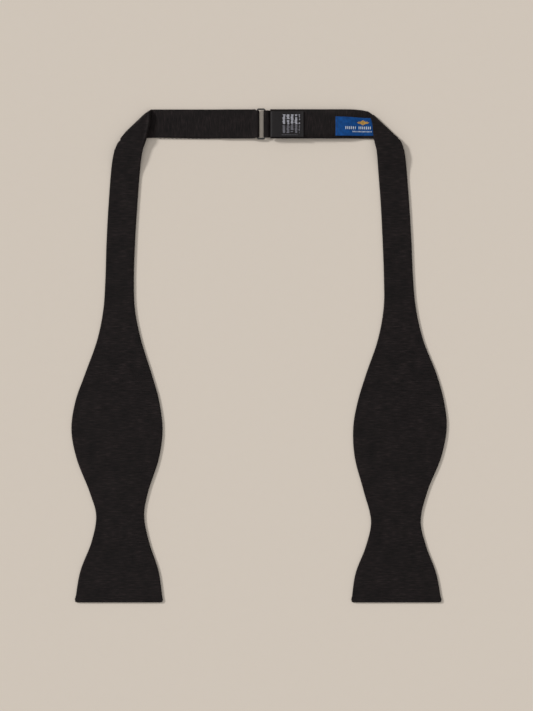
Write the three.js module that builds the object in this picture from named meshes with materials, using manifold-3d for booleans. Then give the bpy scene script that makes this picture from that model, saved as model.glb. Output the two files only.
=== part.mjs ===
// A self-tie bow tie, untied and lying flat with both blades folded down side by side.
// Millimetres, +X to the right, +Y towards the neckband, +Z up. The tie lies on z = 0 and the origin is at
// the middle of its footprint. Each half is a silk tube, front panel + interlining + back panel, which runs
// from the blade's end up the strap, over a diagonal fold and along the neckband to the size adjuster.

import * as THREE from "three";
import { mergeVertices } from "three/addons/utils/BufferGeometryUtils.js";
import Module from "manifold-3d";

// ---- Cloth ----
const PLY = 0.4; // one silk panel
const LINING = 0.5; // interlining
const SKIN = 0.05; // air between two plies of one tube
const TUBE = 2 * PLY + LINING + 2 * SKIN; // whole thickness with interlining
const STRAP_HALF = 10.2; // half width of the neckband
const LINING_INSET = 3; // interlining edge inside the panel's edge
const SEAM_OUT = 0.3; // seam allowance, from this far inside the panel's edge
const SEAM_IN = 2.4; // ... to this far

// ---- Layout on the table ----
const BAND_Y = 161.9; // centre line of the neckband
const CREASE_TOP_X = 74.3; // where each crease crosses the neckband's upper edge
const CREASE_BOTTOM_X = 95.7; // ... and its lower edge
const FOLD_AIR = 0.7; // air between the two layers at a fold
const FOLD_CLEAR = 0.3; // flat layers stop this far short of the crease
const STRAP_DOWN_Y = [143.7, 124]; // the folded strap comes down to the table between these

// ---- Size adjuster ----
const WIRE_R = 0.55; // ring wire
const RING_X = 1.4; // middle of the ring
const RING_HALF_X = 2.65; // half distance between its two long wires
const RING_HALF_Y = 10.3; // half length, wire centre to wire centre
const RING_CORNER = 1.1; // corner radius of the wire's centre line
const WIRE_Z = 1.5; // height of the wire's centre
const WIRE_AIR = 0.1; // running clearance of a loop on its wire
const STRAP_T = 0.3; // adjusting strap
const NARROW_HALF = 9.4; // its half width, and that of the tube where it passes the ring
const SLIDE_X = 50; // middle of the three-bar slide
const SLIDE_Z = 1.05; // middle of its thickness
const SLIDE_T = 0.6;
const OUTER_BAR = 1.6;
const CENTRE_BAR = 1.4;
const SLIDE_SLOT = 2.6;
const SLIDE_SIDE = 0.65; // side bar width
const SLIDE_SLOT_HALF = 9.5; // half length of a slot
const SLIDE_CORNER = 0.6;

// ---- Neckband heights ----
const TAIL_END_X = -20; // end of the left tail behind the ring
const ABOVE_TAIL = 0.9; // left tube rides over its own tail at this height
const RIGHT_END_X = 7.8; // finished end of the right half
const ABOVE_SLIDE = 2.15; // right tube rides over the slide at this height
const RIGHT_DOWN_X = [60, 74]; // and comes down to the table between these

// Stations down each blade: distance up the table, distance of the centre line from the middle, half width.
const BLADES = {
  left: {
    side: -1,
    stations: [
      [143.7, 91.1, 10.2],
      [131, 93.2, 10.1],
      [105.9, 95.2, 10.1],
      [80, 96.7, 10],
      [52, 97.6, 10],
      [32, 97.9, 11.1],
      [11.4, 97.9, 15.2],
      [-13.8, 98.5, 23.6],
      [-32, 99.2, 29.3],
      [-52, 99.4, 31.9],
      [-72, 98.9, 28.8],
      [-95.7, 98.1, 20.4],
      [-111.8, 97.2, 16.8],
      [-130, 97.1, 20],
      [-151, 97.7, 27.4],
      [-172.75, 98.1, 30.8],
    ],
  },
  right: {
    side: 1,
    stations: [
      [143.7, 91.7, 10],
      [131, 93.3, 10],
      [105.9, 95.1, 10],
      [80, 96.5, 10.1],
      [55, 97.5, 10.2],
      [34, 98.4, 11.2],
      [11.4, 98.9, 15.7],
      [-13.8, 99.5, 24.9],
      [-32.7, 99.2, 30.3],
      [-50, 98.6, 32.7],
      [-70.5, 97.2, 30.4],
      [-95, 95.5, 22.3],
      [-116, 95.7, 17.4],
      [-133.5, 95.8, 21.1],
      [-152.4, 95.7, 28.2],
      [-172.75, 96.1, 31.6],
    ],
  },
};
const STEPS_PER_STATION = 2;
const END_CORNER = 2.2; // corner radius at the blade's end

// ---- Colours ----
const SILK = { color: 0x211d1d, roughness: 0.62, metalness: 0 };
const CANVAS = { color: 0x35332f, roughness: 0.9, metalness: 0 };
const THREAD = { color: 0x161415, roughness: 0.7, metalness: 0 };
const BLACK_METAL = { color: 0x1a1a1b, roughness: 0.35, metalness: 0.9 };
const SATIN = { color: 0x282526, roughness: 0.45, metalness: 0 };
const BLUE_WOVEN = { color: 0x2c4f7f, roughness: 0.8, metalness: 0 };
const WHITE_THREAD = { color: 0x8c98ab, roughness: 0.7, metalness: 0 };

const tie = new THREE.Group();

function addPiece(name, geometry, look) {
  const mesh = new THREE.Mesh(geometry, new THREE.MeshStandardMaterial(look));
  mesh.name = name;
  tie.add(mesh);
  return mesh;
}

function smoothstep(value) {
  const t = Math.min(Math.max(value, 0), 1);
  return t * t * (3 - 2 * t);
}

// Evenly spaced values from one end to the other, both included.
function between(from, to, steps) {
  return Array.from({ length: steps + 1 }, (_, i) => from + ((to - from) * i) / steps);
}

// ---- Solids from grids ----

function signedVolume(points, triangles) {
  const [a, b, c] = [new THREE.Vector3(), new THREE.Vector3(), new THREE.Vector3()];
  let sixfold = 0;
  for (let i = 0; i < triangles.length; i += 3) {
    a.fromArray(points, 3 * triangles[i]);
    b.fromArray(points, 3 * triangles[i + 1]);
    c.fromArray(points, 3 * triangles[i + 2]);
    sixfold += a.dot(b.cross(c));
  }
  return sixfold / 6;
}

function closedGeometry(points, triangles) {
  const outward = signedVolume(points, triangles) > 0 ? triangles : triangles.slice().reverse();
  const geometry = new THREE.BufferGeometry();
  geometry.setAttribute("position", new THREE.Float32BufferAttribute(points, 3));
  geometry.setIndex(outward);
  geometry.computeVertexNormals();
  return geometry;
}

// A sheet with thickness. A row is a list of [lower point, upper point] pairs across the sheet.
function sheetSolid(rows) {
  const columns = rows[0].length;
  const points = rows.flat(3);
  const at = (row, column, upper) => 2 * (row * columns + column) + upper;
  const triangles = [];
  const quad = (a, b, c, d) => triangles.push(a, b, c, a, c, d);
  for (let row = 0; row < rows.length - 1; row++) {
    for (let column = 0; column < columns - 1; column++) {
      quad(at(row, column, 1), at(row + 1, column, 1), at(row + 1, column + 1, 1), at(row, column + 1, 1));
      quad(at(row, column, 0), at(row, column + 1, 0), at(row + 1, column + 1, 0), at(row + 1, column, 0));
    }
    const last = columns - 1;
    quad(at(row, 0, 0), at(row + 1, 0, 0), at(row + 1, 0, 1), at(row, 0, 1));
    quad(at(row, last, 0), at(row, last, 1), at(row + 1, last, 1), at(row + 1, last, 0));
  }
  for (const [row, flip] of [[0, false], [rows.length - 1, true]]) {
    for (let column = 0; column < columns - 1; column++) {
      const near = [at(row, column, 0), at(row, column, 1)];
      const far = [at(row, column + 1, 1), at(row, column + 1, 0)];
      const corners = [...near, ...far];
      quad(...(flip ? corners.reverse() : corners));
    }
  }
  return closedGeometry(points, triangles);
}

// A block from its lowest and highest corners.
function block(low, high) {
  const size = low.map((value, axis) => high[axis] - value);
  const geometry = new THREE.BoxGeometry(...size);
  return geometry.translate(...low.map((value, axis) => value + size[axis] / 2));
}

const wasm = await Module();
wasm.setup();

function solidFrom(geometry) {
  const bare = new THREE.BufferGeometry();
  bare.setAttribute("position", geometry.getAttribute("position"));
  bare.setIndex(geometry.getIndex());
  const merged = mergeVertices(bare, 1e-4);
  const vertProperties = new Float32Array(merged.getAttribute("position").array);
  const triVerts = new Uint32Array(merged.index.array);
  return new wasm.Manifold(new wasm.Mesh({ numProp: 3, vertProperties, triVerts }));
}

// The first shape with all the others cut out of it.
function cut(body, tools) {
  const solid = tools.reduce((left, tool) => left.subtract(solidFrom(tool)), solidFrom(body));
  const { vertProperties, triVerts } = solid.getMesh();
  return closedGeometry(Array.from(vertProperties), Array.from(triVerts));
}

// A straight row across the band between two heights, for a sheet that runs along X.
function bandRow(x, low, high, half) {
  return [-half, half].map((y) => [[x, BAND_Y + y, low], [x, BAND_Y + y, high]]);
}

// ---- The diagonal fold ----
// Plan coordinates here are (distance from the middle, Y); each half mirrors them to its own side.

const creaseTop = new THREE.Vector2(CREASE_TOP_X, BAND_Y + STRAP_HALF);
const creaseBottom = new THREE.Vector2(CREASE_BOTTOM_X, BAND_Y - STRAP_HALF);
const creaseAlong = creaseBottom.clone().sub(creaseTop).normalize();
const creaseOut = new THREE.Vector2(-creaseAlong.y, creaseAlong.x);
const SLIP = creaseAlong.x / creaseOut.x; // travel along the crease for each unit of cloth across it
const FOLD_Z = TUBE + FOLD_AIR / 2;
const FOLD_R = (TUBE + FOLD_AIR) / 2; // radius of the tube's middle round the fold

// Point of the cloth at the fold: v is 0 at the neckband's upper edge and 1 at its lower edge, travel is the
// cloth's distance past the crease, out is how far the point stands beyond the crease line.
function foldPoint(v, travel, out) {
  const point = creaseTop.clone().lerp(creaseBottom, v);
  return point.addScaledVector(creaseAlong, travel * SLIP).addScaledVector(creaseOut, out);
}

const lowerCreaseRow = (v) => foldPoint(v, -FOLD_CLEAR, -FOLD_CLEAR);
const upperCreaseRow = (v) => foldPoint(v, Math.PI * FOLD_R + FOLD_CLEAR, -FOLD_CLEAR);

// Heights of the three plies above the underside of the tube, from the table up.
const LAYER = [
  [0, PLY],
  [PLY + SKIN, PLY + SKIN + LINING],
  [TUBE - PLY, TUBE],
];

// One ply round the fold, as a half turn with a short straight lead at both ends.
function foldPly(side, layer, inset) {
  const [inner, outer] = [FOLD_Z - LAYER[layer][1], FOLD_Z - LAYER[layer][0]];
  const lead = FOLD_CLEAR - SKIN;
  const v = [inset / (2 * STRAP_HALF), 1 - inset / (2 * STRAP_HALF)];
  const pair = (edge, travel, angle, out) =>
    [inner, outer].map((radius) => {
      const plan = foldPoint(edge, travel, out + radius * Math.sin(angle));
      return [side * plan.x, plan.y, FOLD_Z - radius * Math.cos(angle)];
    });
  const rows = [v.map((edge) => pair(edge, -lead, 0, -lead))];
  for (const angle of between(0, Math.PI, 10)) {
    rows.push(v.map((edge) => pair(edge, FOLD_R * angle, angle, 0)));
  }
  rows.push(v.map((edge) => pair(edge, Math.PI * FOLD_R + lead, Math.PI, -lead)));
  return sheetSolid(rows);
}

// ---- Blades ----

const UPPER_Z = TUBE + FOLD_AIR; // underside of the strap where it lies over the neckband

function bladeHeight(y) {
  const [high, low] = STRAP_DOWN_Y;
  return UPPER_Z * smoothstep((y - low) / (high - low));
}

// Rows down the blade as { y, centre, half }, from the first station to the blade's end.
function bladeStations({ stations }) {
  const curve = new THREE.CatmullRomCurve3(stations.map((station) => new THREE.Vector3(...station)));
  const rows = curve.getPoints((stations.length - 1) * STEPS_PER_STATION);
  return rows.map(({ x, y, z }) => ({ y: x, centre: y, half: z }));
}

// Plan outline of a blade as rows of [outer edge, inner edge], with every edge moved in by inset.
function bladePlan(blade, inset) {
  const rows = bladeStations(blade);
  const end = rows.at(-1);
  const radius = Math.max(END_CORNER - inset, 0.3);
  const straight = rows.filter(({ y }) => y > end.y + inset + radius);
  const plan = straight.map(({ y, centre, half }) => [
    [centre + half - inset, y],
    [centre - half + inset, y],
  ]);
  for (const angle of between(0, Math.PI / 2, 4)) {
    const half = end.half - inset - radius * (1 - Math.cos(angle));
    const y = end.y + inset + radius * (1 - Math.sin(angle));
    plan.push([[end.centre + half, y], [end.centre - half, y]]);
  }
  return plan;
}

function bladePly(blade, layer, inset) {
  const { side } = blade;
  const [low, high] = LAYER[layer];
  const pair = ([x, y], base) => [[side * x, y, base + low], [side * x, y, base + high]];
  const v = [1 - inset / (2 * STRAP_HALF), inset / (2 * STRAP_HALF)];
  const crease = v.map((edge) => upperCreaseRow(edge).toArray());
  const rows = [crease.map((point) => pair(point, UPPER_Z))];
  for (const row of bladePlan(blade, inset)) {
    rows.push(row.map((point) => pair(point, bladeHeight(point[1]))));
  }
  return sheetSolid(rows);
}

// The seam allowances turned inside the blade: one strip down a side, across the end and up the other side.
function bladeSeam(blade) {
  const { side } = blade;
  const [low, high] = LAYER[1];
  const rows = bladeStations(blade);
  const end = rows.at(-1);
  const straight = rows.filter(({ y }) => y > end.y + SEAM_IN);
  const corner = [
    [end.half - SEAM_OUT, end.y + SEAM_OUT],
    [end.half - SEAM_IN, end.y + SEAM_IN],
  ];
  const limb = (sign) => {
    const down = straight.map(({ y, centre, half }) => [
      [centre + sign * (half - SEAM_OUT), y],
      [centre + sign * (half - SEAM_IN), y],
    ]);
    return [...down, corner.map(([half, y]) => [end.centre + sign * half, y])];
  };
  const strip = [...limb(1), ...limb(-1).reverse()];
  return sheetSolid(
    strip.map((row) =>
      row.map(([x, y]) => {
        const base = bladeHeight(y);
        return [[side * x, y, base + low], [side * x, y, base + high]];
      }),
    ),
  );
}

for (const [name, blade] of Object.entries(BLADES)) {
  addPiece(`${name}_blade_back_panel`, bladePly(blade, 0, 0), SILK);
  addPiece(`${name}_blade_interlining`, bladePly(blade, 1, LINING_INSET), CANVAS);
  addPiece(`${name}_blade_front_panel`, bladePly(blade, 2, 0), SILK);
  addPiece(`${name}_blade_edge_seam`, bladeSeam(blade), SILK);
  addPiece(`${name}_fold_front_panel`, foldPly(blade.side, 0, 0), SILK);
  addPiece(`${name}_fold_interlining`, foldPly(blade.side, 1, LINING_INSET), CANVAS);
  addPiece(`${name}_fold_back_panel`, foldPly(blade.side, 2, 0), SILK);
}

// ---- Neckband ----
// The neckband lies with its front panel on the table and its back panel, the inner side, up.

// The row at the crease, where a sheet that runs along X ends on the diagonal.
function creaseRow(side, low, high, half) {
  return [-half, half].map((offset) => {
    const x = side * lowerCreaseRow((STRAP_HALF - offset) / (2 * STRAP_HALF)).x;
    return [[x, BAND_Y + offset, low], [x, BAND_Y + offset, high]];
  });
}

// Height of the right half's underside above the table.
function rightBase(x) {
  const [high, low] = RIGHT_DOWN_X;
  return ABOVE_SLIDE * (1 - smoothstep((x - high) / (low - high)));
}

function rightNeckPly(layer, startX, half) {
  const [low, high] = LAYER[layer];
  const slope = between(RIGHT_DOWN_X[0], RIGHT_DOWN_X[1], 7);
  const rows = [startX, ...slope].map((x) => bandRow(x, rightBase(x) + low, rightBase(x) + high, half));
  return sheetSolid([...rows, creaseRow(1, low, high, half)]);
}

addPiece("right_neckband_front_panel", rightNeckPly(0, RIGHT_END_X, STRAP_HALF), SILK);
addPiece(
  "right_neckband_interlining",
  rightNeckPly(1, RIGHT_END_X + LINING_INSET, STRAP_HALF - LINING_INSET),
  CANVAS,
);
addPiece("right_neckband_back_panel", rightNeckPly(2, RIGHT_END_X, STRAP_HALF), SILK);

const END_SEAM_WIDTH = 1.4;
addPiece(
  "right_neckband_end_seam",
  block(
    [RIGHT_END_X + SEAM_OUT, BAND_Y - STRAP_HALF + SEAM_OUT, ABOVE_SLIDE + LAYER[1][0]],
    [RIGHT_END_X + SEAM_OUT + END_SEAM_WIDTH, BAND_Y + STRAP_HALF - SEAM_OUT, ABOVE_SLIDE + LAYER[1][1]],
  ),
  SILK,
);

// Left half: the interlining stops before the tail, where the two panels come together and go round the wire.
const LEFT_WIRE_X = RING_X - RING_HALF_X;
const RIGHT_WIRE_X = RING_X + RING_HALF_X;
const LEFT_RISE_X = [-30, -22]; // tube climbs onto its own tail between these
const LEFT_WIRE_RISE_X = -6; // and climbs to the top of the wire from here
const WRAP_R = WIRE_R + WIRE_AIR; // inner radius of a loop on the wire

const WRAP_START_X = -8; // each panel is modelled in two stretches, which meet here

// Height of a panel above the tube's underside where the tube has no interlining.
const thinLow = (isBack) => (isBack ? PLY + SKIN : 0);

function leftNeckPly(isBack) {
  const [low, high] = LAYER[isBack ? 2 : 0];
  const rows = [creaseRow(-1, low, high, STRAP_HALF)];
  for (const x of between(...LEFT_RISE_X, 5)) {
    const rise = smoothstep((x - LEFT_RISE_X[0]) / (LEFT_RISE_X[1] - LEFT_RISE_X[0]));
    const bottom = ABOVE_TAIL * rise + low + (thinLow(isBack) - low) * rise;
    rows.push(bandRow(x, bottom, bottom + PLY, STRAP_HALF));
  }
  const end = ABOVE_TAIL + thinLow(isBack);
  rows.push(bandRow(WRAP_START_X - SKIN, end, end + PLY, STRAP_HALF));
  return sheetSolid(rows);
}

// The stretch that climbs to the wire, goes round it and lies behind it as the tail.
function leftWrapPly(isBack) {
  const start = ABOVE_TAIL + thinLow(isBack);
  const rows = [bandRow(WRAP_START_X + SKIN, start, start + PLY, STRAP_HALF)];
  const top = WIRE_Z + WRAP_R;
  for (const x of between(LEFT_WIRE_RISE_X, LEFT_WIRE_X, 6).slice(0, -1)) {
    const rise = smoothstep((x - LEFT_WIRE_RISE_X) / (LEFT_WIRE_X - LEFT_WIRE_RISE_X));
    const bottom = ABOVE_TAIL + (top - ABOVE_TAIL) * rise + thinLow(isBack);
    rows.push(bandRow(x, bottom, bottom + PLY, STRAP_HALF + (NARROW_HALF - STRAP_HALF) * rise));
  }
  const inner = WRAP_R + thinLow(isBack);
  for (const angle of between(Math.PI / 2, -Math.PI / 2, 10)) {
    rows.push(wrapRow(LEFT_WIRE_X, angle, inner, inner + PLY));
  }
  rows.push(bandRow(TAIL_END_X, WIRE_Z - inner, WIRE_Z - inner - PLY, NARROW_HALF));
  return sheetSolid(rows);
}

// A row of a loop round a wire at x, between two radii.
function wrapRow(x, angle, inner, outer) {
  const [across, up] = [Math.cos(angle), Math.sin(angle)];
  return [-NARROW_HALF, NARROW_HALF].map((y) =>
    [inner, outer].map((radius) => [x + radius * across, BAND_Y + y, WIRE_Z + radius * up]),
  );
}

function leftNeckLining() {
  const [low, high] = LAYER[1];
  const half = STRAP_HALF - LINING_INSET;
  return sheetSolid([
    creaseRow(-1, low, high, half),
    bandRow(LEFT_RISE_X[0] - 1, low, high, half),
  ]);
}

addPiece("left_neckband_front_panel", leftNeckPly(false), SILK);
addPiece("left_neckband_interlining", leftNeckLining(), CANVAS);
addPiece("left_neckband_back_panel", leftNeckPly(true), SILK);
addPiece("left_ring_wrap_front_panel", leftWrapPly(false), SILK);
addPiece("left_ring_wrap_back_panel", leftWrapPly(true), SILK);

const STITCH = 0.35; // thickness of a row of stitches
const ROW_HALF = 8.5; // half length of a row of stitches across the band
addPiece(
  "left_tail_stitching",
  block(
    [TAIL_END_X - SKIN - STITCH, BAND_Y - ROW_HALF, 2 * SKIN],
    [TAIL_END_X - SKIN, BAND_Y + ROW_HALF, 2 * PLY],
  ),
  THREAD,
);

// The opening each half was turned through, closed along the neckband's lower edge.
const SLIP_STITCH_LENGTH = 34;
const SLIP_STITCH_X = { left: -69, right: 14 }; // where each closed opening starts
function slipStitch(startX, base) {
  const edge = BAND_Y - STRAP_HALF - SKIN;
  return block(
    [startX, edge - STITCH, base + LAYER[1][0]],
    [startX + SLIP_STITCH_LENGTH, edge, base + LAYER[1][0] + STITCH],
  );
}
addPiece("left_slip_stitching", slipStitch(SLIP_STITCH_X.left, 0), THREAD);
addPiece("right_slip_stitching", slipStitch(SLIP_STITCH_X.right, ABOVE_SLIDE), THREAD);

// ---- Ring of the size adjuster ----

// Points round a rectangle with round corners, each with its outward direction.
function roundedRectangle(centreX, centreY, halfX, halfY, corner) {
  const corners = [[1, 1, 0], [-1, 1, 90], [-1, -1, 180], [1, -1, 270]];
  return corners.flatMap(([x, y, start]) =>
    between(start, start + 90, 4).map((degrees) => {
      const angle = THREE.MathUtils.degToRad(degrees);
      const out = [Math.cos(angle), Math.sin(angle)];
      return {
        out,
        x: centreX + x * (halfX - corner) + corner * out[0],
        y: centreY + y * (halfY - corner) + corner * out[1],
      };
    }),
  );
}

// A closed wire bent to a rectangle with round corners.
function wireRing() {
  const stations = roundedRectangle(RING_X, BAND_Y, RING_HALF_X, RING_HALF_Y, RING_CORNER);
  const sides = 12;
  const points = stations.flatMap(({ out, x, y }) =>
    between(0, 2 * Math.PI, sides).slice(0, sides).flatMap((angle) => {
      const reach = WIRE_R * Math.cos(angle);
      return [x + reach * out[0], y + reach * out[1], WIRE_Z + WIRE_R * Math.sin(angle)];
    }),
  );
  const triangles = [];
  stations.forEach((_, station) => {
    const next = (station + 1) % stations.length;
    for (let side = 0; side < sides; side++) {
      const following = (side + 1) % sides;
      const [a, b] = [station * sides + side, next * sides + side];
      const [c, d] = [next * sides + following, station * sides + following];
      triangles.push(a, b, c, a, c, d);
    }
  });
  return closedGeometry(points, triangles);
}
addPiece("adjuster_ring", wireRing(), BLACK_METAL);

// ---- Three-bar slide ----

function slideGeometry() {
  const halfX = CENTRE_BAR / 2 + SLIDE_SLOT + OUTER_BAR;
  const halfY = SLIDE_SLOT_HALF + SLIDE_SIDE;
  const edge = roundedRectangle(0, 0, halfX, halfY, SLIDE_CORNER);
  const outline = new THREE.Shape(edge.map(({ x, y }) => new THREE.Vector2(x, y)));
  const plate = new THREE.ExtrudeGeometry(outline, { depth: SLIDE_T, bevelEnabled: false });
  const slots = [-1, 1].map((side) => {
    const slot = new THREE.BoxGeometry(SLIDE_SLOT, 2 * SLIDE_SLOT_HALF, 3 * SLIDE_T);
    return slot.translate((side * (CENTRE_BAR + SLIDE_SLOT)) / 2, 0, SLIDE_T / 2);
  });
  return cut(plate, slots).translate(0, 0, -SLIDE_T / 2);
}
addPiece("slide_buckle", slideGeometry(), BLACK_METAL).position.set(SLIDE_X, BAND_Y, SLIDE_Z);

// ---- Adjusting strap ----
// One narrow strap, sewn under the right half, run through the slide to the ring, round its wire and back to
// the slide's centre bar. It is modelled in six stretches, which meet end to end.

// A stretch along a smooth path of [x, z] points.
function strapStretch(points, steps) {
  const bends = points.map(([x, z]) => new THREE.Vector3(x, 0, z));
  const path = new THREE.CatmullRomCurve3(bends, false, "centripetal");
  const rows = between(0, 1, steps).map((t) => {
    const { x, z } = path.getPoint(t);
    const along = path.getTangent(t);
    return [-NARROW_HALF, NARROW_HALF].map((y) =>
      [-STRAP_T / 2, STRAP_T / 2].map((off) => [x - off * along.z, BAND_Y + y, z + off * along.x]),
    );
  });
  return sheetSolid(rows);
}

const UNDER_BAR_Z = SLIDE_Z - SLIDE_T / 2 - SKIN - STRAP_T / 2; // strap's middle under a bar
const RETURN_Z = UNDER_BAR_Z - STRAP_T - SKIN; // middle of the return run below it
const LOOP_MID_R = WRAP_R + STRAP_T / 2;
const SLIDE_BODY = 5.3; // half length of the stretch that stays with the slide
const END_CUT = 0.1; // half the gap between two stretches
const SEWN_END_X = 59.4;
const SEWN_Z = ABOVE_SLIDE - 2 * SKIN - STRAP_T / 2;
const LOOP_LEAD = 0.5; // straight lead of the ring loop
const overBar = (x, z) => [SLIDE_X + x, z];

addPiece(
  "adjusting_strap_sewn_end",
  strapStretch(
    [
      overBar(SLIDE_BODY + END_CUT, UNDER_BAR_Z),
      overBar(6, UNDER_BAR_Z + 0.2),
      [57.2, SEWN_Z - 0.3],
      [58, SEWN_Z - 0.02],
      [SEWN_END_X, SEWN_Z],
    ],
    12,
  ),
  SILK,
);
// Over the centre bar and under both outer bars.
const threaded = [[0, 1.9], [0.9, 1.85], [1.6, 1.51], [2.15, 1.0], [2.8, 0.62], [3.7, UNDER_BAR_Z]];
const halfThreaded = [...threaded, [SLIDE_BODY - END_CUT, UNDER_BAR_Z]];
addPiece(
  "adjusting_strap_threaded_run",
  strapStretch(
    [
      ...halfThreaded.slice(1).reverse().map(([x, z]) => overBar(-x, z)),
      ...halfThreaded.map(([x, z]) => overBar(x, z)),
    ],
    28,
  ),
  SILK,
);
addPiece(
  "adjusting_strap_front_run",
  strapStretch(
    [
      overBar(-SLIDE_BODY - END_CUT, UNDER_BAR_Z),
      [30, UNDER_BAR_Z],
      [14, UNDER_BAR_Z],
      [11, UNDER_BAR_Z + 0.04],
      [8.6, UNDER_BAR_Z + 0.35],
      [6.2, WIRE_Z + LOOP_MID_R - 0.3],
      [RIGHT_WIRE_X + LOOP_LEAD + END_CUT, WIRE_Z + LOOP_MID_R],
    ],
    20,
  ),
  SILK,
);
addPiece(
  "adjusting_strap_return_run",
  strapStretch(
    [
      [RIGHT_WIRE_X + LOOP_LEAD + END_CUT, WIRE_Z - LOOP_MID_R],
      [6.5, RETURN_Z + 0.08],
      [9, RETURN_Z + 0.01],
      [12, RETURN_Z],
      [30, RETURN_Z],
      overBar(-4, RETURN_Z),
    ],
    14,
  ),
  SILK,
);
// Round the slide's centre bar and back on itself.
addPiece(
  "adjusting_strap_end_loop",
  strapStretch(
    [
      [-3.95, RETURN_Z],
      [-2.6, RETURN_Z + 0.05],
      [-1.3, UNDER_BAR_Z - 0.07],
      [0, UNDER_BAR_Z - 0.02],
      [0.55, UNDER_BAR_Z - 0.01],
      [0.87, 0.68],
      [0.92, SLIDE_Z],
      [0.87, 1.43],
      [0.55, 1.56],
      [0, 1.56],
      [-0.55, 1.56],
      [-0.87, 1.43],
      [-0.92, 1.25],
      [-0.92, 1.02],
    ].map(([x, z]) => overBar(x, z)),
    40,
  ),
  SILK,
);

function ringLoop() {
  const radii = [WRAP_R, WRAP_R + STRAP_T];
  const lead = (sign) => {
    const [inner, outer] = radii.map((radius) => WIRE_Z + sign * radius);
    return bandRow(RIGHT_WIRE_X + LOOP_LEAD, inner, outer, NARROW_HALF);
  };
  const turn = between(Math.PI / 2, 1.5 * Math.PI, 10).map((angle) => wrapRow(RIGHT_WIRE_X, angle, ...radii));
  return sheetSolid([lead(1), ...turn, lead(-1)]);
}
addPiece("adjusting_strap_ring_loop", ringLoop(), SILK);

addPiece(
  "sewn_end_stitching",
  block(
    [SEWN_END_X + SKIN, BAND_Y - ROW_HALF, SEWN_Z - STRAP_T / 2],
    [SEWN_END_X + SKIN + STITCH, BAND_Y + ROW_HALF, SEWN_Z + 0.1],
  ),
  THREAD,
);
addPiece(
  "slide_end_stitching",
  block(
    [SLIDE_X - 1.15, BAND_Y - ROW_HALF, UNDER_BAR_Z + STRAP_T / 2 + SKIN],
    [SLIDE_X - 0.75, BAND_Y + ROW_HALF, 0.98],
  ),
  THREAD,
);

// ---- Labels ----

const LABEL_T = 0.3;
const CARE_LABEL_X = [RIGHT_END_X + 0.2, 31.3];
const CARE_LABEL_Y = [152.8, 170.6];
const WOVEN_LABEL_X = 53.2; // its visible end
const WOVEN_LABEL_FAR_X = [84, 78.2]; // its hidden end under the strap, at its lower and upper edge
const WOVEN_LABEL_Y = [153.7, 167.7];
const LABEL_ROW_X = [54.3, 54.6]; // the row of stitches at its visible end
const LABEL_ROW_INSET = 0.7; // ends of that row inside the label's edges
const LABEL_ROW_T = 0.12;
const BAND_TOP = TUBE + SKIN; // a label's underside above the tube's underside

// A label lying on the right half of the neckband, whose far end may be slanted: toX is [lower, upper edge].
function labelSolid(fromX, toX, [lowY, highY], lift, thickness) {
  const middle = between(...RIGHT_DOWN_X, 7).filter((x) => x > fromX && x < Math.min(...toX));
  const ends = [[fromX, fromX], ...middle.map((x) => [x, x]), toX];
  const rows = ends.map((end) =>
    [lowY, highY].map((y, edge) => {
      const base = rightBase(end[edge]) + BAND_TOP + lift;
      return [[end[edge], y, base], [end[edge], y, base + thickness]];
    }),
  );
  return sheetSolid(rows);
}

addPiece(
  "care_label",
  labelSolid(CARE_LABEL_X[0], [CARE_LABEL_X[1], CARE_LABEL_X[1]], CARE_LABEL_Y, 0, LABEL_T),
  SATIN,
);
addPiece("woven_label", labelSolid(WOVEN_LABEL_X, WOVEN_LABEL_FAR_X, WOVEN_LABEL_Y, 0, LABEL_T), BLUE_WOVEN);
const labelRowY = [WOVEN_LABEL_Y[0] + LABEL_ROW_INSET, WOVEN_LABEL_Y[1] - LABEL_ROW_INSET];
addPiece(
  "woven_label_stitching",
  labelSolid(LABEL_ROW_X[0], [LABEL_ROW_X[1], LABEL_ROW_X[1]], labelRowY, LABEL_T + SKIN, LABEL_ROW_T),
  WHITE_THREAD,
);

export default tie;
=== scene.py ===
"""Looks of a self-tie bow tie in black ribbed silk, laid flat and untied. Blender 4.5, metres.

The lay of the cloth is worked out in millimetres, as in the CAD model, and scaled to metres where a mesh is
made. Each half of the tie is one flattened silk tube. A row of the tube is a function place(t, w): t runs
across the strap from 0 at the neckband's upper edge to 1 at its lower edge, and w runs through the tube's
thickness from -1 at the front panel to 1 at the back panel.
"""

import math

import bmesh
import bpy
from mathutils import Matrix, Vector, noise


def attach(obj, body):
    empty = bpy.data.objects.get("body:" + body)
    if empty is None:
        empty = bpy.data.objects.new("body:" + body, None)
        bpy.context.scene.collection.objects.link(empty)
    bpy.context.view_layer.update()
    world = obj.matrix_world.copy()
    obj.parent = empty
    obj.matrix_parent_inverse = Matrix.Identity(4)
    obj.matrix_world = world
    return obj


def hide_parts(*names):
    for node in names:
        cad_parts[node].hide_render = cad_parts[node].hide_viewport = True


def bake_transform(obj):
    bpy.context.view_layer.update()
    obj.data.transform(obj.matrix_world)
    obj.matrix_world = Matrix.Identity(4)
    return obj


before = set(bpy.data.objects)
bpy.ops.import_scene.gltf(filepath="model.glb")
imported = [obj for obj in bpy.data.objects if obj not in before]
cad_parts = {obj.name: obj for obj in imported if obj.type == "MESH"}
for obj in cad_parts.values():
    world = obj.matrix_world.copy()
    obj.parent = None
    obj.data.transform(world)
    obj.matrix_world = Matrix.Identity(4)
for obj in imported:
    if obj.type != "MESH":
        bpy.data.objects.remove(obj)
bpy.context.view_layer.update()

# ---- Sizes in millimetres, as in the CAD model ----
MM = 0.001
TUBE = 1.4
MIDDLE = TUBE / 2
STRAP_HALF = 10.2
BAND_Y = 161.9
BAND_TOP_Y = BAND_Y + STRAP_HALF
BAND_BOTTOM = BAND_Y - STRAP_HALF
CREASE_TOP = Vector((74.3, BAND_TOP_Y))
CREASE_BOTTOM = Vector((95.7, BAND_BOTTOM))
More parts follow.
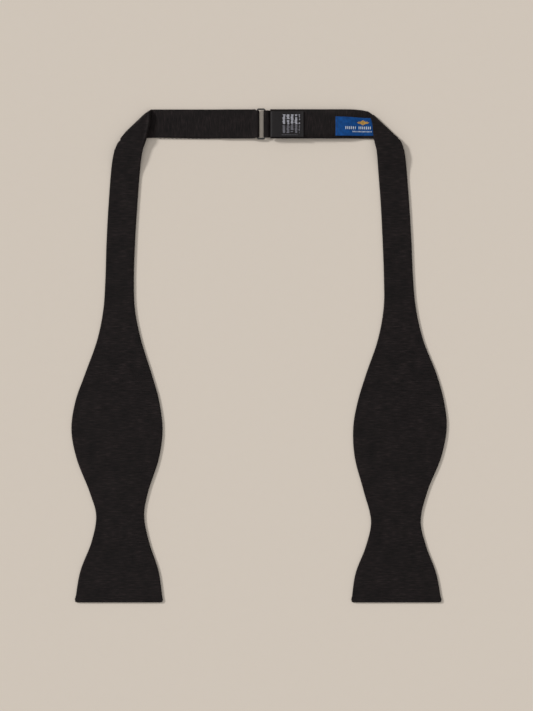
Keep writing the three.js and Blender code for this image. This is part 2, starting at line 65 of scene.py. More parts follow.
STRAIGHT_END = 72.3  # the neckband's rows are straight up to here, and then turn onto the crease
FOLD_AIR = 0.7
FOLD_CLEAR = 0.3
FOLD_PRESS = 0.5  # share of the half turn's length that a pressed fold takes up along the strap
FOLD_Z = TUBE + FOLD_AIR / 2
FOLD_R = (TUBE + FOLD_AIR) / 2
UPPER_Z = TUBE + FOLD_AIR
STRAP_DOWN_Y = (143.7, 124.0)
WIRE_R = 0.55
RING_X = 1.4
RING_HALF_X = 2.65
RING_HALF_Y = 10.3
RING_CORNER = 1.1
WIRE_Z = 1.5
WRAP_R = 0.65
STRAP_T = 0.3
NARROW_HALF = 9.4
SLIDE_X = 50.0
SLIDE_Z = 1.05
SLIDE_T = 0.6
OUTER_BAR = 1.6
CENTRE_BAR = 1.4
SLIDE_SLOT = 2.6
SLIDE_SIDE = 0.65
SLIDE_SLOT_HALF = 9.5
SLIDE_CORNER = 0.6
TAIL_END_X = -20.0
ABOVE_TAIL = 0.9
THIN_HALF = 0.425  # half thickness of the tube where it has no interlining
RIGHT_END_X = 7.8
ABOVE_SLIDE = 2.15
RIGHT_DOWN_X = (60.0, 74.0)
LEFT_RISE_X = (-30.0, -22.0)
LEFT_WIRE_RISE_X = -6.0
LEFT_WIRE_X = RING_X - RING_HALF_X
RIGHT_WIRE_X = RING_X + RING_HALF_X
END_CORNER = 2.2

# Stations down each blade: Y, distance of the centre line from the middle, half width.
LEFT_STATIONS = [
    (143.7, 91.0, 9.8),
    (140, 91.85, 9.95),
    (131, 93.2, 10.1),
    (105.9, 95.2, 10.1),
    (80, 96.7, 10),
    (52, 97.6, 10),
    (32, 97.9, 11.1),
    (11.4, 97.9, 15.2),
    (-13.8, 98.5, 23.6),
    (-32, 99.2, 29.3),
    (-52, 99.4, 31.9),
    (-72, 98.9, 28.8),
    (-95.7, 98.1, 20.4),
    (-111.8, 97.2, 16.8),
    (-130, 97.1, 20),
    (-151, 97.7, 27.4),
    (-172.75, 98.1, 30.8),
]
RIGHT_STATIONS = [
    (143.7, 91.55, 9.6),
    (140, 92.2, 9.8),
    (131, 93.15, 9.95),
    (105.9, 95.1, 10),
    (80, 96.5, 10.1),
    (55, 97.5, 10.2),
    (34, 98.4, 11.2),
    (11.4, 98.9, 15.7),
    (-13.8, 99.5, 24.9),
    (-32.7, 99.2, 30.3),
    (-50, 98.6, 32.7),
    (-70.5, 97.2, 30.4),
    (-95, 95.5, 22.3),
    (-116, 95.7, 17.4),
    (-133.5, 95.8, 21.1),
    (-152.4, 95.7, 28.2),
    (-172.75, 96.1, 31.6),
]

# ---- Small helpers ----


def smoothstep(value):
    t = min(max(value, 0.0), 1.0)
    return t * t * (3 - 2 * t)


def spread(first, last, count):
    """count + 1 evenly spaced values from first to last."""
    return [first + (last - first) * i / count for i in range(count + 1)]


def mix(a, b, share):
    return a + (b - a) * share


def spline(points, steps):
    """Points of a centripetal Catmull-Rom curve through the given tuples, steps to each interval."""
    points = [Vector(p) for p in points]
    padded = [points[0] * 2 - points[1]] + points + [points[-1] * 2 - points[-2]]
    found = []
    for p0, p1, p2, p3 in zip(padded, padded[1:], padded[2:], padded[3:]):
        t1 = (p1 - p0).length ** 0.5
        t2 = t1 + (p2 - p1).length ** 0.5
        t3 = t2 + (p3 - p2).length ** 0.5
        for i in range(steps):
            t = mix(t1, t2, i / steps)
            a1 = p0.lerp(p1, t / t1)
            a2 = p1.lerp(p2, (t - t1) / (t2 - t1))
            a3 = p2.lerp(p3, (t - t2) / (t3 - t2))
            b1 = a1.lerp(a2, t / t2)
            b2 = a2.lerp(a3, (t - t1) / (t3 - t1))
            found.append(b1.lerp(b2, (t - t1) / (t2 - t1)))
    return found + [points[-1]]


# ---- Materials ----


class Shader:
    """A material with its Principled shader, and short ways to add and link nodes."""

    def __init__(self, name, colour, roughness, **sockets):
        self.material = bpy.data.materials.new(name)
        self.material.use_nodes = True
        self.tree = self.material.node_tree
        self.shader = self.tree.nodes["Principled BSDF"]
        self.material.diffuse_color = (*colour, 1)
        self.set("Base Color", (*colour, 1))
        self.set("Roughness", roughness)
        for socket, value in sockets.items():
            self.set(socket.replace("_", " "), value)

    def set(self, socket, value):
        self.shader.inputs[socket].default_value = value

    def link(self, source, node, socket):
        self.tree.links.new(source, node.inputs[socket])

    def add(self, kind, **values):
        node = self.tree.nodes.new(kind)
        for key, value in values.items():
            setattr(node, key, value)
        return node

    def maths(self, operation, *operands):
        node = self.add("ShaderNodeMath", operation=operation)
        for i, operand in enumerate(operands):
            if isinstance(operand, (int, float)):
                node.inputs[i].default_value = operand
            else:
                self.link(operand, node, i)
        return node.outputs[0]

    def coordinates(self, source):
        """Cloth coordinates in metres: across the strap, along it, and their vector."""
        if source == "cloth":
            vector = self.add("ShaderNodeUVMap", uv_map="cloth").outputs[0]
            parts = self.add("ShaderNodeSeparateXYZ")
            self.link(vector, parts, 0)
            return parts.outputs[0], parts.outputs[1], vector
        vector = self.add("ShaderNodeTexCoord").outputs["Object"]
        parts = self.add("ShaderNodeSeparateXYZ")
        self.link(vector, parts, 0)
        return parts.outputs[1], parts.outputs[0], vector

    def combine(self, x, y):
        node = self.add("ShaderNodeCombineXYZ")
        self.link(x, node, 0)
        self.link(y, node, 1)
        return node.outputs[0]

    def noise(self, vector, scale, detail=3.0):
        node = self.add("ShaderNodeTexNoise")
        self.link(vector, node, "Vector")
        node.inputs["Scale"].default_value = scale
        node.inputs["Detail"].default_value = detail
        return node.outputs[0]

    def wave(self, coordinate, pitch, wobble=None):
        """A sine of the given pitch in metres, from -1 to 1."""
        phase = self.maths("MULTIPLY", coordinate, 2 * math.pi / pitch)
        if wobble is not None:
            phase = self.maths("ADD", phase, wobble)
        return self.maths("SINE", phase)

    def ramp(self, value, stops):
        node = self.add("ShaderNodeValToRGB")
        self.link(value, node, 0)
        elements = node.color_ramp.elements
        while len(elements) < len(stops):
            elements.new(0.5)
        for element, (position, colour) in zip(elements, stops):
            element.position = position
            element.color = (*colour, 1)
        return node.outputs[0]

    def map_range(self, value, low, high):
        node = self.add("ShaderNodeMapRange")
        self.link(value, node, 0)
        node.inputs["To Min"].default_value = low
        node.inputs["To Max"].default_value = high
        return node.outputs[0]

    def bump(self, height, distance, below=None):
        node = self.add("ShaderNodeBump")
        node.inputs["Distance"].default_value = distance
        self.link(height, node, "Height")
        if below is not None:
            self.link(below, node, "Normal")
        return node.outputs[0]


def tinted(colour, factor):
    return tuple(channel * factor for channel in colour)


SILK_COLOUR = (0.0086, 0.0060, 0.0060)
RIB_PITCH = 0.00062
WARP_PITCH = 0.00021


def silk(name, source):
    """Ribbed silk: fine ribs across the strap with slubs, over a close warp, and a soft grey sheen."""
    s = Shader(name, SILK_COLOUR, 0.6, Sheen_Weight=0.02, Sheen_Roughness=0.45, Specular_IOR_Level=0.11)
    s.set("Sheen Tint", (0.9, 0.82, 0.8, 1))
    across, along, plain = s.coordinates(source)
    # Slubs are long across the strap and narrow along it.
    stretched = s.combine(s.maths("MULTIPLY", across, 0.14), along)
    slub = s.noise(stretched, 1250, 2.5)
    cloud = s.noise(plain, 90, 3.0)
    value = s.maths("ADD", s.maths("MULTIPLY", slub, 0.72), s.maths("MULTIPLY", cloud, 0.28))
    stops = [(0.34, 0.3), (0.46, 0.78), (0.56, 1.25), (0.67, 2.4)]
    colour = s.ramp(value, [(at, tinted(SILK_COLOUR, factor)) for at, factor in stops])
    s.link(colour, s.shader, "Base Color")
    s.link(s.map_range(slub, 0.5, 0.72), s.shader, "Roughness")
    wobble = s.maths("MULTIPLY", slub, 2.2)
    rib = s.wave(along, RIB_PITCH, wobble)
    warp = s.wave(across, WARP_PITCH)
    ribs = s.bump(rib, 0.00007)
    yarns = s.bump(warp, 0.000018, ribs)
    grain = s.bump(s.noise(plain, 5200, 2.0), 0.00003, yarns)
    s.link(grain, s.shader, "Normal")
    return s.material


def satin(name):
    """Black label satin, smooth, with long fine floats along the tape."""
    colour = (0.0088, 0.0072, 0.0078)
    s = Shader(name, colour, 0.42, Specular_IOR_Level=0.2, Sheen_Weight=0.02, Sheen_Roughness=0.4)
    across, along, _ = s.coordinates("cloth")
    floats = s.noise(s.combine(s.maths("MULTIPLY", along, 0.07), across), 3400, 2.0)
    stops = [(0.3, tinted(colour, 0.75)), (0.7, tinted(colour, 1.25))]
    s.link(s.ramp(floats, stops), s.shader, "Base Color")
    s.link(s.map_range(floats, 0.36, 0.55), s.shader, "Roughness")
    threads = s.bump(s.wave(across, 0.00016), 0.00001)
    s.link(s.bump(floats, 0.00004, threads), s.shader, "Normal")
    return s.material


def damask(name):
    """Blue woven label: close diagonal twill with a slightly uneven dye."""
    colour = (0.0035, 0.055, 0.212)
    s = Shader(name, colour, 0.62, Sheen_Weight=0.03, Sheen_Roughness=0.5, Specular_IOR_Level=0.1)
    across, along, plain = s.coordinates("cloth")
    twill = s.wave(s.maths("ADD", across, along), 0.00042)
    cross = s.wave(s.maths("SUBTRACT", along, across), 0.00031)
    weave = s.maths("MULTIPLY", s.maths("ADD", twill, cross), 0.5)
    uneven = s.noise(plain, 420, 3.0)
    value = s.maths("ADD", s.maths("MULTIPLY", weave, 0.12), uneven)
    stops = [(0.3, tinted(colour, 0.7)), (0.72, tinted(colour, 1.25))]
    s.link(s.ramp(value, stops), s.shader, "Base Color")
    s.link(s.map_range(uneven, 0.54, 0.72), s.shader, "Roughness")
    s.link(s.bump(weave, 0.00003), s.shader, "Normal")
    return s.material


def canvas(name):
    """Dark interlining canvas: an open plain weave."""
    colour = (0.036, 0.033, 0.028)
    s = Shader(name, colour, 0.9, Specular_IOR_Level=0.1)
    across, along, plain = s.coordinates("place")
    weave = s.maths("MULTIPLY", s.wave(across, 0.0006), s.wave(along, 0.0006))
    hair = s.noise(plain, 700, 3.0)
    s.link(s.ramp(hair, [(0.3, tinted(colour, 0.6)), (0.7, tinted(colour, 1.4))]), s.shader, "Base Color")
    s.link(s.map_range(hair, 0.82, 0.96), s.shader, "Roughness")
    s.link(s.bump(weave, 0.00008), s.shader, "Normal")
    return s.material


def thread(name, colour, roughness=0.6):
    """Twisted sewing thread."""
    s = Shader(name, colour, roughness, Sheen_Weight=0.1, Sheen_Roughness=0.5, Specular_IOR_Level=0.3)
    vector = s.add("ShaderNodeTexCoord").outputs["Object"]
    twist = s.add("ShaderNodeTexWave", bands_direction="DIAGONAL")
    s.link(vector, twist, "Vector")
    twist.inputs["Scale"].default_value = 2600
    twist.inputs["Distortion"].default_value = 1.5
    fuzz = s.noise(vector, 2400, 2.0)
    s.link(s.ramp(fuzz, [(0.3, tinted(colour, 0.7)), (0.7, tinted(colour, 1.2))]), s.shader, "Base Color")
    s.link(s.map_range(fuzz, roughness - 0.06, roughness + 0.1), s.shader, "Roughness")
    s.link(s.bump(twist.outputs[1], 0.00004), s.shader, "Normal")
    return s.material


def lacquered_metal(name):
    """Black lacquered steel, rubbed a little brighter in small patches."""
    colour = (0.012, 0.012, 0.0125)
    s = Shader(name, colour, 0.34, Metallic=0.35, Specular_IOR_Level=0.5)
    s.set("Coat Weight", 0.35)
    s.set("Coat Roughness", 0.22)
    vector = s.add("ShaderNodeTexCoord").outputs["Object"]
    rubbed = s.noise(vector, 900, 4.0)
    stops = [(0.35, colour), (0.62, tinted(colour, 1.6)), (0.8, (0.07, 0.068, 0.066))]
    s.link(s.ramp(rubbed, stops), s.shader, "Base Color")
    fine = s.noise(vector, 4200, 3.0)
    s.link(s.map_range(fine, 0.26, 0.44), s.shader, "Roughness")
    s.link(s.bump(fine, 0.000015), s.shader, "Normal")
    return s.material


SILK = silk("ribbed_silk", "cloth")
STRAP_SILK = silk("ribbed_silk_strap", "place")
SATIN = satin("label_satin")
BLUE = damask("blue_damask")
CANVAS = canvas("interlining_canvas")
BLACK_THREAD = thread("black_thread", (0.0075, 0.0066, 0.0066))
BLUE_THREAD = thread("deep_blue_thread", (0.008, 0.028, 0.09))
GREY_THREAD = thread("grey_woven_yarn", (0.5, 0.5, 0.56))
DIM_THREAD = thread("dim_woven_yarn", (0.2, 0.195, 0.225))
WHITE_THREAD = thread("pale_woven_yarn", (0.5, 0.55, 0.62))
GOLD_THREAD = thread("gold_woven_yarn", (0.6, 0.33, 0.035), 0.5)
METAL = lacquered_metal("black_lacquered_metal")

# ---- Meshes from grids ----


def finish_mesh(name, material, vertices, faces, uvs=None):
    """An object in metres from points in millimetres, smooth shaded, with cloth coordinates as its UVs."""
    mesh = bpy.data.meshes.new(name)
    mesh.from_pydata([tuple(c * MM for c in v) for v in vertices], [], faces)
    mesh.polygons.foreach_set("use_smooth", [True] * len(mesh.polygons))
    if uvs is not None:
        layer = mesh.uv_layers.new(name="cloth")
        for loop in mesh.loops:
            u, v = uvs[loop.vertex_index]
            layer.data[loop.index].uv = (u * MM, v * MM)
    mesh.materials.append(material)
    mesh.update()
    piece = bpy.data.objects.new(name, mesh)
    bpy.context.scene.collection.objects.link(piece)
    return piece


def grid_faces(rows, columns, closed=False):
    across = columns if closed else columns - 1
    corners = ((0, 0), (0, 1), (1, 1), (1, 0))
    return [
        tuple((r + down) * columns + (c + right) % columns for down, right in corners)
        for r in range(rows - 1)
        for c in range(across)
    ]


EDGE_STEPS = [0.0, 0.05, 0.17, 0.35, 0.6, 0.95, 1.5, 2.2, 3.1]
EDGE_ROLL = 0.85  # how far in from the edge the rolled edge reaches the tube's full thickness
MIDDLE_COLUMNS = 10
SHELL_EDGE_STEPS = [0.0, 0.04, 0.12, 0.25, 0.5, 1.2]
SHELL_COLUMNS = 8
END_START = 0.02  # a flat strap's first point counts as this far in from its end
END_STEP = 0.12  # ... and each next one as this much further


def roll(distance, reach=EDGE_ROLL):
    """Share of the full thickness at this distance from a rolled edge: a quarter round."""
    share = min(max(distance / reach, 0.0), 1.0)
    return math.sqrt(1 - (1 - share) ** 2)


def columns_for(width):
    """Values of t across a row, close together at both edges."""
    edge = [step / width for step in EDGE_STEPS]
    inner = spread(edge[-1], 1 - edge[-1], MIDDLE_COLUMNS)[1:-1]
    return edge + inner + [1 - t for t in reversed(edge)]


class Row:
    """One row of a tube: where a point (t, w) lies, its width, and its cloth coordinates."""

    def __init__(self, width, place, cloth, end=1.0, swell=None):
        self.width = width
        self.place = place
        self.cloth = cloth
        self.end = end
        self.swell = swell or (lambda t, distance: 0.0)


def panel(name, rows, side, sign):
    """One panel of a tube. sign is -1 for the front panel and 1 for the back panel; side mirrors it."""
    vertices, uvs = [], []
    count = 0
    for row in rows:
        values = columns_for(row.width)
        count = len(values)
        for t in values:
            distance = min(t, 1 - t) * row.width
            w = sign * roll(distance) * row.end
            w *= 1 + row.swell(t, distance)
            x, y, z = row.place(t, w)
            vertices.append((side * x, y, z))
            uvs.append(row.cloth(t))
    piece = finish_mesh(name, SILK, vertices, grid_faces(len(rows), count), uvs)
    face_away(piece, rows, side)
    return piece


def face_away(piece, rows, side):
    """Turns the faces so that they look away from the middle of the tube."""
    row = rows[len(rows) // 2]
    middle = Vector(row.place(0.5, 0.0))
    middle.x *= side
    nearest = min(piece.data.polygons, key=lambda face: (face.center / MM - middle).length)
    if nearest.normal.dot(nearest.center / MM - middle) < 0:
        piece.data.flip_normals()


def shell(name, path, thickness, material, roll_reach, edges=None):
    """A closed flat strap. path holds (x, z) points, and edges the (lower, upper) Y for each point, without
    which the strap has the adjusting strap's width."""
    vertices, uvs = [], []
    length = 0.0
    last = None
    for i, point in enumerate(path):
        before = path[max(i - 1, 0)]
        after = path[min(i + 1, len(path) - 1)]
        tangent = (after - before).normalized()
        normal = Vector((-tangent.y, tangent.x))
        if last is not None:
            length += (point - last).length
        last = point
        low, high = edges[i] if edges else (BAND_Y - NARROW_HALF, BAND_Y + NARROW_HALF)
        edge = [step / (high - low) for step in SHELL_EDGE_STEPS]
        inner = spread(edge[-1], 1 - edge[-1], SHELL_COLUMNS)[1:-1]
        values = edge + inner + [1 - t for t in reversed(edge)]
        end = roll(min(i, len(path) - 1 - i) * END_STEP + END_START, roll_reach)
        for sign in (1, -1):
            for t in values if sign > 0 else reversed(values[1:-1]):
                distance = min(t, 1 - t) * (high - low)
                off = sign * thickness / 2 * roll(distance, roll_reach) * end
                spot = point + normal * off
                vertices.append((spot.x, mix(high, low, t), spot.y))
                uvs.append(((0.5 - t) * (high - low), length))
    count = len(vertices) // len(path)
    faces = grid_faces(len(path), count, closed=True)
    faces.append(tuple(range(count)))
    faces.append(tuple(reversed(range((len(path) - 1) * count, len(path) * count))))
    piece = finish_mesh(name, material, vertices, faces, uvs)
    outward(piece)
    return piece


def outward(piece):
    """Turns the faces of a closed mesh outwards."""
    work = bmesh.new()
    work.from_mesh(piece.data)
    bmesh.ops.recalc_face_normals(work, faces=work.faces)
    work.to_mesh(piece.data)
    work.free()


# ---- The lay of each half ----

ALONG = (CREASE_BOTTOM - CREASE_TOP).normalized()
OUT = Vector((-ALONG.y, ALONG.x))
SLIP = ALONG.x / OUT.x


def fold_point(t, travel, out):
    return CREASE_TOP.lerp(CREASE_BOTTOM, t) + ALONG * (travel * SLIP) + OUT * out


def unfolded(t, travel):
    """Cloth coordinates at a fold, as if the strap ran on along the neckband."""
    start = mix(CREASE_TOP.x, CREASE_BOTTOM.x, t)
    return STRAP_HALF * (1 - 2 * t), start + travel * (ALONG.x * SLIP + OUT.x)


def waves(x, y, seed):
    """Soft, broad unevenness of pressed silk over its interlining, about -1 to 1."""
    broad = noise.noise(Vector((x * 0.028, y * 0.02, seed)))
    close = noise.noise(Vector((x * 0.11, y * 0.09, seed + 7.0)))
    return broad * 1.3 + close * 0.5


def pucker(y, distance, seed):
    """Small puckers of the turned edge, which fade out a few millimetres in."""
    ripple = noise.noise(Vector((y * 0.42, seed, 0.5)))
    return ripple * math.exp(-((distance - 1.6) ** 2) / 2.2)


def fold_rows(first_t, bulge):
    """Rows round the diagonal fold, from the neckband to the blade. bulge gives how far the fold stands
    out, as a share of its full roundness, at its top, in its middle and at its bottom."""
    lead = FOLD_CLEAR
    turns = [(-lead, 0.0, -lead)]
    turns += [(FOLD_PRESS * FOLD_R * angle, angle, 0.0) for angle in spread(0.0, math.pi, 20)]
    turns += [(FOLD_PRESS * math.pi * FOLD_R + lead, math.pi, -lead)]
    rows = []
    for travel, angle, out in turns:

        def place(t, w, travel=travel, angle=angle, out=out):
            at_top = mix(bulge[0], bulge[1], smoothstep(t / 0.2))
            pressed = mix(at_top, bulge[2], smoothstep((t - 0.75) / 0.25))
            t = mix(first_t, 1.0, t)
            radius = FOLD_R - MIDDLE * w
            plan = fold_point(t, travel, out + pressed * radius * math.sin(angle))
            return plan.x, plan.y, FOLD_Z - radius * math.cos(angle)

        def cloth(t, travel=travel):
            return unfolded(mix(first_t, 1.0, t), travel)

        rows.append(Row(2 * STRAP_HALF * (1 - first_t), place, cloth))
    return rows


def blade_height(y):
    high, low = STRAP_DOWN_Y
    return UPPER_Z * smoothstep((y - low) / (high - low))


def blade_plan(stations):
    """Rows down the blade as (outer edge, inner edge, Y, distance from the blade's end)."""
    rows = [(p.x, p.y + p.z, p.y - p.z) for p in spline(stations, 9)]
    end_y = rows[-1][0]
    end_outer, end_inner = rows[-1][1], rows[-1][2]
    plan = [(outer, inner, y, y - end_y) for y, outer, inner in rows if y > end_y + END_CORNER + 0.4]
    for angle in spread(0.0, math.pi / 2, 9):
        inset = END_CORNER * (1 - math.cos(angle))
        up = END_CORNER * (1 - math.sin(angle))
        plan.append((end_outer - inset, end_inner + inset, end_y + up, up))
    return plan


def blade_rows(side, stations, first_t, seed, rim, turn_lines):
    """Rows down a blade from the fold to its end. rim is the height of the rolled edge near the fold."""
    plan = blade_plan(stations)
    travel = FOLD_PRESS * math.pi * FOLD_R + FOLD_CLEAR
    crease_inner = fold_point(first_t, travel, -FOLD_CLEAR)
    crease_outer = fold_point(1.0, travel, -FOLD_CLEAR)
    outer, inner, y, _ = plan[0]
    start_inner = Vector((inner, y))
    start_outer = Vector((outer, y))
    inner_turn, outer_turn = [[Vector(point) for point in line] for line in turn_lines]
    rows = []

    def add(inner_point, outer_point, end, width):
        def place(t, w):
            point = inner_point.lerp(outer_point, t)
            return point.x, point.y, blade_height(point.y) + MIDDLE - MIDDLE * w

        def cloth(t):
            point = inner_point.lerp(outer_point, t)
            return side * (point.x - 98), 260 - point.y

        def swell(t, distance):
            point = inner_point.lerp(outer_point, t)
            uneven = 0.16 * waves(side * point.x, point.y, seed) * smoothstep(distance / 6)
            soft = 0.14 * pucker(point.y, distance, seed) + 0.12 * smoothstep(distance / 9)
            return uneven + soft + rim_height(point, t, distance)

        rows.append(Row(width, place, cloth, roll(end), swell))

    def rim_height(point, t, distance):
        if not rim or t > 0.5:
            return 0.0
        near_fold = smoothstep((point.y - 147) / 6)
        ridge = math.exp(-((distance - 1.15) ** 2) / 0.6)
        groove = math.exp(-((distance - 2.75) ** 2) / 0.25)
        return near_fold * rim * (ridge - 0.5 * groove)

    # The corner of the folded strap eases from the diagonal into the strap's own direction.
    inner_line = spline([crease_inner] + inner_turn + [start_inner], 5)
    outer_line = spline([crease_outer] + outer_turn + [start_outer], 5)
    for i, (inner_point, outer_point) in enumerate(zip(inner_line[:-1], outer_line[:-1])):
        share = i / (len(inner_line) - 1)
        width = 2 * STRAP_HALF * mix(1 - first_t, 1.0, share)
        add(inner_point, outer_point, EDGE_ROLL, width)
    for outer, inner, y, end in plan:
        add(Vector((inner, y)), Vector((outer, y)), end, outer - inner)
    return rows


def right_base(x):
    high, low = RIGHT_DOWN_X
    return ABOVE_SLIDE * (1 - smoothstep((x - high) / (low - high)))


SAG_REACH = 3.2  # how far in from its edges the right band hangs
EDGE_SAG = 0.85
DROOP = 1.2  # how far the right half's upper edge sags at its fold
DROOP_X = (64.0, 82.0)
RIGHT_FIRST_T = DROOP / (2 * STRAP_HALF)


def band_row(
    x, base, half_thickness, top, bottom, seed, end=1.0, up=1.0, travel=None, swell=True, sag=0.0
):
    """A straight row across the neckband. up is the direction of the back panel, 1 up and -1 down.
    sag is how far the two edges hang below the middle."""

    def place(t, w):
        distance = min(t, 1 - t) * (top - bottom)
        middle = base + half_thickness - sag * (1 - smoothstep(distance / SAG_REACH))
        return x, mix(top, bottom, t), middle + up * half_thickness * w

    def cloth(t):
        return mix(top, bottom, t) - BAND_Y, x if travel is None else travel

    def uneven(t, distance):
        y = mix(top, bottom, t)
        broad = 0.15 * waves(x, y, seed) * smoothstep(distance / 5)
        return broad + 0.16 * pucker(x, distance, seed) + 0.1 * smoothstep(distance / 7)

    return Row(top - bottom, place, cloth, end, uneven if swell else None)


def crease_rows(last, first_t, base):
    """Rows that ease from the last straight row, whose edges are given, onto the diagonal of the fold."""
    (x, top), (_, bottom) = last
    crease_top = fold_point(first_t, -FOLD_CLEAR, -FOLD_CLEAR)
    crease_bottom = fold_point(1.0, -FOLD_CLEAR, -FOLD_CLEAR)
    rows = []
    for share in spread(0.0, 1.0, 12)[1:]:
        upper = Vector((x, top)).lerp(crease_top, share)
        lower = Vector((x, bottom)).lerp(crease_bottom, share)

        def place(t, w, upper=upper, lower=lower):
            point = upper.lerp(lower, t)
            return point.x, point.y, base(point.x) + MIDDLE + MIDDLE * w

        def cloth(t, upper=upper, lower=lower):
            point = upper.lerp(lower, t)
            return point.y - BAND_Y, point.x

        def swell(t, distance, upper=upper, lower=lower, share=share):
            point = upper.lerp(lower, t)
            uneven = 0.15 * waves(point.x, point.y, 3.0) * smoothstep(distance / 5)
            return (1 - share) * (uneven + 0.1 * smoothstep(distance / 7))

        rows.append(Row(top - bottom, place, cloth, 1.0, swell))
    return rows


def right_neck_rows():
    xs = [RIGHT_END_X + step for step in EDGE_STEPS] + spread(RIGHT_END_X + 4.5, STRAIGHT_END, 28)
    rows = []
    for x in xs:
        top = BAND_TOP_Y - DROOP * smoothstep((x - DROOP_X[0]) / (DROOP_X[1] - DROOP_X[0]))
        end = roll(x - RIGHT_END_X)
        base = right_base(x)
        sag = min(EDGE_SAG, 0.5 * base)
        rows.append(band_row(x, base, MIDDLE, top, BAND_BOTTOM, 3.0, end, sag=sag))
    return rows + crease_rows(((xs[-1], top), (xs[-1], BAND_BOTTOM)), RIGHT_FIRST_T, right_base)


LEFT_TAPER = 0.6  # how much the left half narrows towards its fold


def left_neck_rows():
    """Distances from the middle are used here, so the ring side has small or negative values."""
    edges = ((STRAIGHT_END, BAND_TOP_Y), (STRAIGHT_END, BAND_BOTTOM + LEFT_TAPER))
    rows = crease_rows(edges, 0.0, lambda x: 0.0)[::-1]
    for distance in spread(STRAIGHT_END, -LEFT_RISE_X[0], 18)[:-1]:
        bottom = BAND_BOTTOM + LEFT_TAPER * smoothstep((distance - 34) / 38)
        rows.append(band_row(distance, 0.0, MIDDLE, BAND_TOP_Y, bottom, 5.0))
    for distance in spread(-LEFT_RISE_X[0], -LEFT_RISE_X[1], 8):
        rise = smoothstep((-LEFT_RISE_X[0] - distance) / (LEFT_RISE_X[1] - LEFT_RISE_X[0]))
        thin = mix(MIDDLE, THIN_HALF, rise)
        rows.append(band_row(distance, ABOVE_TAIL * rise, thin, BAND_TOP_Y, BAND_BOTTOM, 5.0))
    for distance in spread(-LEFT_RISE_X[1], -LEFT_WIRE_RISE_X, 8)[1:]:
        rows.append(band_row(distance, ABOVE_TAIL, THIN_HALF, BAND_TOP_Y, BAND_BOTTOM, 5.0))
    top_of_wire = WIRE_Z + WRAP_R
    for distance in spread(-LEFT_WIRE_RISE_X, -LEFT_WIRE_X, 8)[1:-1]:
        rise = smoothstep((-LEFT_WIRE_RISE_X - distance) / (LEFT_WIRE_X - LEFT_WIRE_RISE_X))
        half = mix(STRAP_HALF, NARROW_HALF, smoothstep((3.0 - distance) / 1.5))
        base = mix(ABOVE_TAIL, top_of_wire, rise)
        rows.append(band_row(distance, base, THIN_HALF, BAND_Y + half, BAND_Y - half, 5.0, swell=False))
    rows += wire_rows()
    tail_z = WIRE_Z - WRAP_R - 2 * THIN_HALF
    tail = spread(-LEFT_WIRE_X + 1.0, -TAIL_END_X - 1.0, 8)
    tail += [-TAIL_END_X - 1.0 + step for step in (0.4, 0.65, 0.83, 0.95, 1.0)]
    for distance in tail:
        end = roll(-TAIL_END_X - distance)
        top, bottom = BAND_Y + NARROW_HALF, BAND_Y - NARROW_HALF
        # The back panel lies against the table here.
        rows.append(band_row(distance, tail_z, THIN_HALF, top, bottom, 5.0, end, -1.0, -distance, False))
    return rows


def wire_rows():
    """The left tube round the ring's left wire, from its top round the right side to underneath."""
    rows = []
    for angle in spread(math.pi / 2, -math.pi / 2, 16):

        def place(t, w, angle=angle):
            radius = WRAP_R + THIN_HALF + THIN_HALF * w
            x = LEFT_WIRE_X + radius * math.cos(angle)
            return -x, BAND_Y + NARROW_HALF * (1 - 2 * t), WIRE_Z + radius * math.sin(angle)

        def cloth(t, angle=angle):
            return NARROW_HALF * (1 - 2 * t), -LEFT_WIRE_X - 1.1 * (math.pi / 2 - angle)

        rows.append(Row(2 * NARROW_HALF, place, cloth))
    return rows


# Inner and outer edge of each strap between its fold and its first station.
LEFT_TURN = ([(75.9, 163.0), (77.8, 153.7)], [(98.5, 148.8), (99.9, 146.0)])
RIGHT_TURN = (
    [(78.9, 162.5), (79.4, 157.5), (80.0, 152.0)],
    [(98.1, 150.7), (99.4, 149.0), (100.3, 147.0)],
)


def make_half(name, side, stations, first_t, neck_rows, seed, rim, turn_lines, bulge):
    """The silk of one half: blade, fold and neckband, each with its front and back panel."""
    blade, neckband = f"{name}_blade", f"{name}_neckband"
    down = blade_rows(side, stations, first_t, seed, rim, turn_lines)
    turn = fold_rows(first_t, bulge)
    for sign, word in ((-1, "front"), (1, "back")):
        on_blade = panel(f"{name}_blade_{word}_silk", down if sign < 0 else flat_rows(down), side, sign)
        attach(on_blade, blade)
        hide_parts(f"{name}_blade_{word}_panel")
        on_fold = panel(f"{name}_fold_{word}_silk", turn, side, sign)
        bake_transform(on_fold)
        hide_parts(f"{name}_fold_{word}_panel")
        upper_or_flat = neck_rows if sign > 0 else flat_rows(neck_rows)
        on_neck = panel(f"{name}_neckband_{word}_silk", upper_or_flat, side, sign)
        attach(on_neck, neckband)
        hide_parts(f"{name}_neckband_{word}_panel")
    lining = fold_lining(name, side, first_t)
    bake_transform(lining)
    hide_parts(f"{name}_fold_interlining")


def flat_rows(rows):
    """The same rows without the unevenness, for the side that lies on the table."""
    return [Row(row.width, row.place, row.cloth, row.end) for row in rows]


def fold_lining(name, side, first_t):
    """The interlining round the fold, a thin closed strip inside the silk."""
    vertices = []
    turns = [(FOLD_PRESS * FOLD_R * angle, angle) for angle in spread(0.0, math.pi, 14)]
    inset = 3 / (2 * STRAP_HALF)
    for travel, angle in turns:
        for radius, edges in ((1.3, (0, 1)), (0.8, (1, 0))):
            for edge in edges:
                t = mix(first_t + inset, 1 - inset, edge)
                plan = fold_point(t, travel, radius * math.sin(angle))
                vertices.append((side * plan.x, plan.y, FOLD_Z - radius * math.cos(angle)))
    faces = grid_faces(len(turns), 4, closed=True)
    faces.append((0, 1, 2, 3))
    last = 4 * (len(turns) - 1)
    faces.append((last + 3, last + 2, last + 1, last))
    piece = finish_mesh(f"{name}_fold_canvas", CANVAS, vertices, faces)
    outward(piece)
    return piece


